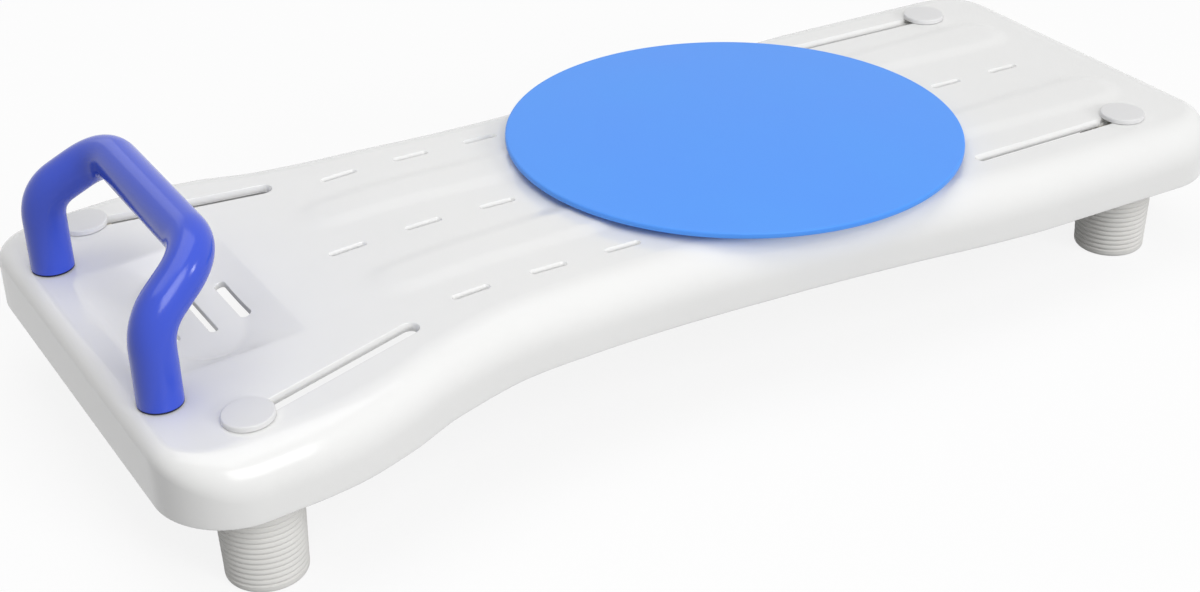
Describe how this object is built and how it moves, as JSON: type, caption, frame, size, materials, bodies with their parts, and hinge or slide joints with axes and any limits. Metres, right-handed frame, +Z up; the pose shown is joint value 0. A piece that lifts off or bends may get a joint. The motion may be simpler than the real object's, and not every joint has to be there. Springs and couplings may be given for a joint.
{
  "type": "bath board",
  "caption": "Bath transfer board: waisted drained deck with a turning round seat, an angled grab handle, a sunk soap dish and sliding rubber-sleeved clamp feet.",
  "frame": {"origin": "centre of the board in plan, on the plane that the foot sleeves stand on", "axes": "+X runs along the board from the handle end to the far end, +Y towards its back edge, +Z up"},
  "size_m": [0.74, 0.332, 0.1811],
  "materials": {
    "white_moulding": "white polypropylene, satin with soft highlights",
    "handle_blue": "smooth blue coating",
    "seat_blue": "finely grained blue plastic",
    "grey_plastic": "smooth light grey",
    "grey_rubber": "ribbed light grey rubber",
    "black_rubber": "dark gasket rubber",
    "natural_nylon": "natural nylon",
    "steel": "stainless steel",
    "brass": "turned brass"
  },
  "bodies": {
    "board": {"board_shell": "white_moulding", "handle_tube": "handle_blue", "handle_gasket_front": "black_rubber", "handle_plug_front": "natural_nylon", "handle_washer_front": "steel", "handle_screw_front": "steel", "handle_gasket_back": "black_rubber", "handle_plug_back": "natural_nylon", "handle_washer_back": "steel", "handle_screw_back": "steel", "turntable_race": "natural_nylon", "turntable_glide_ring": "natural_nylon", "turntable_bush": "natural_nylon", "turntable_race_screw_1": "steel", "turntable_race_screw_2": "steel", "turntable_race_screw_3": "steel"},
    "turntable": {"turntable_disc": "seat_blue", "turntable_insert": "brass", "turntable_washer": "steel", "turntable_spindle_screw": "steel"},
    "carriage_front_handle_end": {"foot_cap_front_handle_end": "grey_plastic", "foot_bolt_front_handle_end": "steel", "foot_washer_front_handle_end": "natural_nylon"},
    "peg_front_handle_end": {"foot_core_front_handle_end": "natural_nylon", "foot_insert_front_handle_end": "brass", "foot_sleeve_front_handle_end": "grey_rubber"},
    "carriage_front_far_end": {"foot_cap_front_far_end": "grey_plastic", "foot_bolt_front_far_end": "steel", "foot_washer_front_far_end": "natural_nylon"},
    "peg_front_far_end": {"foot_core_front_far_end": "natural_nylon", "foot_insert_front_far_end": "brass", "foot_sleeve_front_far_end": "grey_rubber"},
    "carriage_back_handle_end": {"foot_cap_back_handle_end": "grey_plastic", "foot_bolt_back_handle_end": "steel", "foot_washer_back_handle_end": "natural_nylon"},
    "peg_back_handle_end": {"foot_core_back_handle_end": "natural_nylon", "foot_insert_back_handle_end": "brass", "foot_sleeve_back_handle_end": "grey_rubber"},
    "carriage_back_far_end": {"foot_cap_back_far_end": "grey_plastic", "foot_bolt_back_far_end": "steel", "foot_washer_back_far_end": "natural_nylon"},
    "peg_back_far_end": {"foot_core_back_far_end": "natural_nylon", "foot_insert_back_far_end": "brass", "foot_sleeve_back_far_end": "grey_rubber"}
  },
  "joints": [
    {"name": "turntable_spin", "type": "hinge", "parent": "board", "child": "turntable", "pos_m": [0.072, 0, 0.0991], "axis": [0.025, 0, 0.9997], "continuous": true},
    {"name": "foot_slide_front_handle_end", "type": "slide", "parent": "board", "child": "carriage_front_handle_end", "axis": [0.9692, 0.2413, 0.0485], "range_m": [0, 0.1027]},
    {"name": "foot_turn_front_handle_end", "type": "hinge", "parent": "carriage_front_handle_end", "child": "peg_front_handle_end", "pos_m": [-0.316, -0.1266, 0.04], "axis": [0, 0, 1], "range_deg": [0, 360]},
    {"name": "foot_slide_front_far_end", "type": "slide", "parent": "board", "child": "carriage_front_far_end", "axis": [-0.9996, -0.0094, 0.025], "range_m": [0, 0.113]},
    {"name": "foot_turn_front_far_end", "type": "hinge", "parent": "carriage_front_far_end", "child": "peg_front_far_end", "pos_m": [0.31, -0.1024, 0.04], "axis": [0, 0, 1], "range_deg": [0, 360]},
    {"name": "foot_slide_back_handle_end", "type": "slide", "parent": "board", "child": "carriage_back_handle_end", "axis": [0.9692, -0.2413, 0.0485], "range_m": [0, 0.1027]},
    {"name": "foot_turn_back_handle_end", "type": "hinge", "parent": "carriage_back_handle_end", "child": "peg_back_handle_end", "pos_m": [-0.316, 0.1266, 0.04], "axis": [0, 0, 1], "range_deg": [0, 360]},
    {"name": "foot_slide_back_far_end", "type": "slide", "parent": "board", "child": "carriage_back_far_end", "axis": [-0.9996, 0.0094, 0.025], "range_m": [0, 0.113]},
    {"name": "foot_turn_back_far_end", "type": "hinge", "parent": "carriage_back_far_end", "child": "peg_back_far_end", "pos_m": [0.31, 0.1024, 0.04], "axis": [0, 0, 1], "range_deg": [0, 360]}
  ]
}
